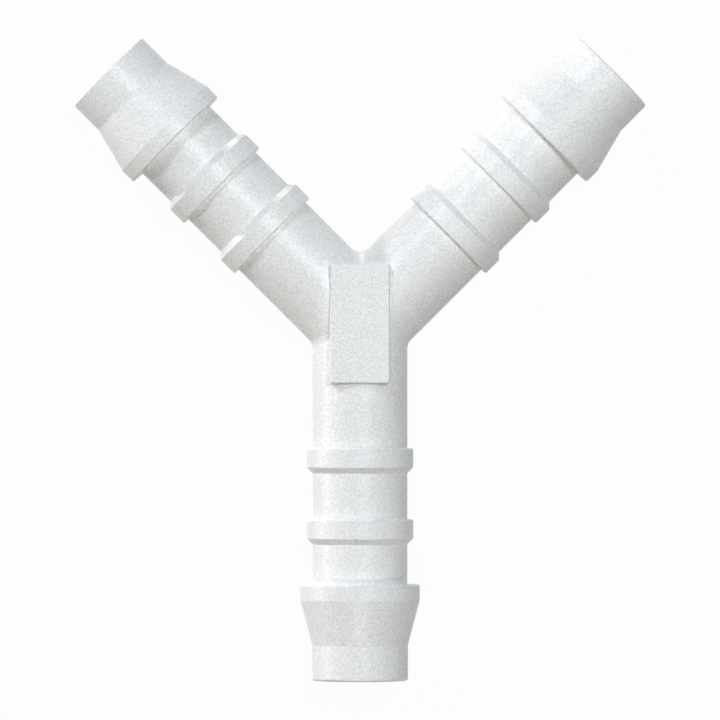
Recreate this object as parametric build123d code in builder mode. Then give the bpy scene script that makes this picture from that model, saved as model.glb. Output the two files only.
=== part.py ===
from build123d import *
import os

# A hose connector in the shape of a Y, injection moulded in one piece. Three equal barbed tails
# leave one junction: the stem runs back along -Y, and the two arms run ahead, one to each side.
# The origin is the point where the three bore axes meet. The label pad faces +Z.
# All sizes are in millimetres, all angles in degrees.

# The tubes and how they part.
tube_diameter = 8.0
wall_thickness = 1.0
arm_angle = 45.0  # between each arm and straight ahead
junction_radius = 1.0  # fillet where two tubes meet

# The two stop rings on each tail: a flat shoulder towards the junction, a 45 degree slope ahead.
first_ring_start = 10.5  # from the junction to the first shoulder
ring_pitch = 6.0
ring_count = 2
ring_rise = 0.5  # above the tube
ring_land = 1.6  # width of the cylindrical top
shoulder_chamfer = 0.1  # on the outer edge of every shoulder

# The barb that holds the hose, and the nose that the hose is started on.
barb_setback = 5.5  # from the last ring's shoulder to the barb's
barb_rise = 1.05
barb_land = 1.3
taper_length = 3.8
nose_rise = 0.05
nose_length = 3.0
rim_radius = 0.2  # outer edge of the open end
mouth_chamfer = 0.15  # inner edge of the open end

# The flat pad for a size mark, on one side of the junction.
pad_width = 5.0
pad_length = 10.0
pad_rise = 0.5  # above the tubes' crest
pad_draft = 2.0
pad_corner_radius = 0.25
pad_edge_radius = 0.15

# Worked out from the sizes above.
tube_radius = tube_diameter / 2
bore_radius = tube_radius - wall_thickness
ring_radius = tube_radius + ring_rise
barb_radius = tube_radius + barb_rise
nose_radius = tube_radius + nose_rise
ring_starts = [first_ring_start + index * ring_pitch for index in range(ring_count)]
barb_start = ring_starts[-1] + barb_setback
taper_start = barb_start + barb_land
nose_start = taper_start + taper_length
tail_length = nose_start + nose_length
pad_face_height = tube_radius + pad_rise

# The tails differ only in their turn about +Z, counted from the stem.
tail_places = [Rotation(0, 0, turn) for turn in (0, 180 - arm_angle, 180 + arm_angle)]

# Half of a tail's section, from the junction outwards. It stands under the axis, so that the
# seam of each revolved face lies along the bottom, away from the fillets.
outline = [(0, 0), (0, tube_radius)]
for start in ring_starts:
    slope_start = start + ring_land
    outline += [(start, tube_radius), (start, ring_radius)]
    outline += [(slope_start, ring_radius), (slope_start + ring_rise, tube_radius)]
outline += [(barb_start, tube_radius), (barb_start, barb_radius), (taper_start, barb_radius)]
outline += [(nose_start, nose_radius), (tail_length, nose_radius), (tail_length, 0)]

with BuildPart() as tail:
    with BuildSketch(Plane(origin=(0, 0, 0), x_dir=(0, -1, 0), z_dir=(1, 0, 0))) as section:
        with BuildLine():
            Polyline(*outline, close=True)
        make_face()
        shoulders = ShapeList()
        for start in (*ring_starts, barb_start):
            shoulders.append(section.vertices().filter_by_position(Axis.X, start, start).sort_by(Axis.Y)[-1])
        chamfer(shoulders, shoulder_chamfer)
        fillet(section.vertices().group_by(Axis.X)[-1].sort_by(Axis.Y)[-1], rim_radius)
    revolve(axis=Axis.Y)

with BuildPart() as label_pad:
    with BuildSketch(Plane.XY.offset(pad_face_height)):
        RectangleRounded(pad_width, pad_length, pad_corner_radius)
    extrude(amount=-pad_face_height, taper=-pad_draft)
    fillet(label_pad.faces().sort_by(Axis.Z)[-1].edges(), pad_edge_radius)

# The tubes meet in mitred ellipses, which are filleted before the pad covers their upper ends.
# The bores come last, drilled in from the open ends to the point where they meet.
with BuildPart() as y_connector:
    with Locations(*tail_places):
        add(tail.part)
    fillet(y_connector.edges().filter_by(GeomType.ELLIPSE), junction_radius)
    add(label_pad.part)
    open_end = Location((0, -tail_length, 0), (90, 0, 0))
    with Locations(*[place * open_end for place in tail_places]):
        Hole(bore_radius, depth=tail_length)
    chamfer(y_connector.edges(Select.LAST).filter_by(GeomType.CIRCLE), mouth_chamfer)

y_connector.part.label = "y_connector"
os.makedirs("parts", exist_ok=True)
export_step(y_connector.part, "parts/y_connector.step")
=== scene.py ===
import math

import bpy
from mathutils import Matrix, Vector


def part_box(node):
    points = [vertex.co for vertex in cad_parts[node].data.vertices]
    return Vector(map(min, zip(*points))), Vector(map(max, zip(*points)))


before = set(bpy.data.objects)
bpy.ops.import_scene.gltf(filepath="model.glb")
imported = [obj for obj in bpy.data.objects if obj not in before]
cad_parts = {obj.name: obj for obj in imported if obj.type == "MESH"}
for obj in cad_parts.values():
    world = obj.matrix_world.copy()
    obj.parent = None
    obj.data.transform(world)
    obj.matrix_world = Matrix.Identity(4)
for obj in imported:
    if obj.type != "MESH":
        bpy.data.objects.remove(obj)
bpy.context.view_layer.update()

# The connector is one injection moulding in white acetal. Its mould is spark-eroded, not polished,
# which leaves a fine, even, matt grain all over, barbs and label pad alike.
moulding_white = (0.86, 0.865, 0.86)
grain_per_metre = 5600.0
pit_depth = 0.00002
pit_bottom, land_top = 0.3, 0.7
pit_tone, land_tone = 0.88, 1.12
pit_roughness, land_roughness = 0.41, 0.33
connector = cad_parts["y_connector"]
acetal = bpy.data.materials.new("white_acetal")
acetal.use_nodes = True
skin = acetal.node_tree
surface = skin.nodes["Principled BSDF"]
surface.inputs["Specular IOR Level"].default_value = 0.45

# The spark grain: pits about 0.15 mm across, with the land between them.
place = skin.nodes.new("ShaderNodeTexCoord")
grain = skin.nodes.new("ShaderNodeTexNoise")
grain.inputs["Scale"].default_value = grain_per_metre
grain.inputs["Detail"].default_value = 1.0
skin.links.new(place.outputs["Object"], grain.inputs["Vector"])
pits = skin.nodes.new("ShaderNodeBump")
pits.inputs["Strength"].default_value = 1.0
pits.inputs["Distance"].default_value = pit_depth
skin.links.new(grain.outputs["Fac"], pits.inputs["Height"])
skin.links.new(pits.outputs["Normal"], surface.inputs["Normal"])


def along_grain(in_pits, on_land):
    """A value that runs with the grain, from the bottoms of the pits up to the land."""
    run = skin.nodes.new("ShaderNodeMapRange")
    run.inputs["From Min"].default_value = pit_bottom
    run.inputs["From Max"].default_value = land_top
    run.inputs["To Min"].default_value = in_pits
    run.inputs["To Max"].default_value = on_land
    skin.links.new(grain.outputs["Fac"], run.inputs["Value"])
    return run.outputs["Result"]


# The bottoms of the pits are a little darker and duller than the land.
white = skin.nodes.new("ShaderNodeVectorMath")
white.operation = "SCALE"
white.inputs[0].default_value = moulding_white
skin.links.new(along_grain(pit_tone, land_tone), white.inputs["Scale"])
skin.links.new(white.outputs["Vector"], surface.inputs["Base Color"])
skin.links.new(along_grain(pit_roughness, land_roughness), surface.inputs["Roughness"])
connector.data.materials.clear()
connector.data.materials.append(acetal)

# The table is a sheet of white paper on a light table: lamps below it shine through, so it casts no
# shadow of its own. It shows as white, and keeps a faint shadow under the connector.
table_width = 4.0
paper_grey = (0.45, 0.45, 0.45, 1.0)
glow_share = 0.97
table_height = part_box("y_connector")[0].z
bpy.ops.object.select_all(action="DESELECT")
bpy.ops.mesh.primitive_plane_add(size=table_width, location=(0, 0, table_height))
table = bpy.context.object
table.name = "table"
table.visible_shadow = False


def where_seen(tree):
    """1 for what the camera sees, straight on, mirrored or through glass, and 0 for what gets light."""
    ray = tree.nodes.new("ShaderNodeLightPath")
    seen = ray.outputs["Is Camera Ray"]
    for way in ("Is Glossy Ray", "Is Transmission Ray"):
        either = tree.nodes.new("ShaderNodeMath")
        either.operation = "MAXIMUM"
        tree.links.new(seen, either.inputs[0])
        tree.links.new(ray.outputs[way], either.inputs[1])
        seen = either.outputs[0]
    return seen


sheet = bpy.data.materials.new("white_sheet")
sheet.use_nodes = True
layers = sheet.node_tree
layers.nodes.clear()
share = layers.nodes.new("ShaderNodeMath")
share.operation = "MULTIPLY"
share.inputs[1].default_value = glow_share
layers.links.new(where_seen(layers), share.inputs[0])
paper = layers.nodes.new("ShaderNodeBsdfDiffuse")
paper.inputs["Color"].default_value = paper_grey
glow = layers.nodes.new("ShaderNodeEmission")
glowing_paper = layers.nodes.new("ShaderNodeMixShader")
layers.links.new(share.outputs[0], glowing_paper.inputs["Fac"])
layers.links.new(paper.outputs[0], glowing_paper.inputs[1])
layers.links.new(glow.outputs[0], glowing_paper.inputs[2])
table_top = layers.nodes.new("ShaderNodeOutputMaterial")
layers.links.new(glowing_paper.outputs[0], table_top.inputs["Surface"])
table.data.materials.append(sheet)

# The camera looks straight down on the side with the label pad, with the arms pointing up in the
# picture. Its square frame is a little larger than the connector is long, and centred on that length.
frame_width = 0.06076
camera_height = 0.7595
camera_shift_to_stem = 0.00305
sensor_width_mm = 36.0
bpy.ops.object.camera_add(location=(0, -camera_shift_to_stem, camera_height), rotation=(0, 0, 0))
camera = bpy.context.object
camera.data.sensor_width = sensor_width_mm
camera.data.lens = sensor_width_mm * camera_height / frame_width
bpy.context.scene.camera = camera

# The room has white walls. They show behind the table and in the moulding's sheen, and only the lamps
# light the connector.
room = bpy.data.worlds.new("room")
bpy.context.scene.world = room
room.use_nodes = True
space = room.node_tree
space.nodes.clear()
walls = space.nodes.new("ShaderNodeBackground")
walls.inputs["Color"].default_value = (1.0, 1.0, 1.0, 1.0)
space.links.new(where_seen(space), walls.inputs["Strength"])
all_round = space.nodes.new("ShaderNodeOutputWorld")
space.links.new(walls.outputs[0], all_round.inputs["Surface"])

# The lamps are round, and stand at one distance from the middle of the junction. The main light comes
# from the left, level with the connector and up through the table. A cool lamp overhead lights the
# label pad, and a yellowish one high above the stem's open end lights the stem.
plain = (1.0, 1.0, 1.0)
cool = (0.89, 0.92, 1.0)
sky = (0.80, 0.93, 1.0)
warm = (1.0, 0.93, 0.88)
amber = (1.0, 0.88, 0.75)
sharp, soft = 0.025, 0.1
lamp_distance = 0.6
# Each has a name, a turn about the vertical from +X and a height above the junction, both in degrees,
# the brightness of a white face turned to it, where 1 is white, a tint and a width.
lamps = [
    ("low_left_ahead", 140, 1.5, 0.17, plain, sharp),
    ("low_left", 177, 1.5, 0.165, plain, sharp),
    ("high_left", 125, 42, 0.30, cool, soft),
    ("high_right", 45, 60, 0.10, warm, soft),
    ("overhead", 45, 74, 0.405, sky, soft),
    ("behind", 270, 60, 0.27, amber, soft),
    ("under_left", 158, -15, 0.32, warm, sharp),
    ("under_left_deep", 140, -50, 0.14, warm, soft),
    ("under_ahead", 100, -22, 0.125, amber, sharp),
    ("under_ahead_deep", 100, -38, 0.085, warm, sharp),
]
for name, turn, height, level, tint, width in lamps:
    turn, height = math.radians(turn), math.radians(height)
    outwards = Vector((math.cos(turn), math.sin(turn), 0))
    way = math.cos(height) * outwards + Vector((0, 0, math.sin(height)))
    bpy.ops.object.light_add(type="AREA", location=lamp_distance * way)
    lamp = bpy.context.object
    lamp.name = name
    lamp.data.shape = "DISK"
    lamp.data.size = width
    lamp.data.color = tint
    lamp.data.energy = level * (math.pi * lamp_distance) ** 2
    lamp.rotation_euler = way.to_track_quat("Z", "Y").to_euler()

bpy.context.scene.view_settings.view_transform = "Standard"
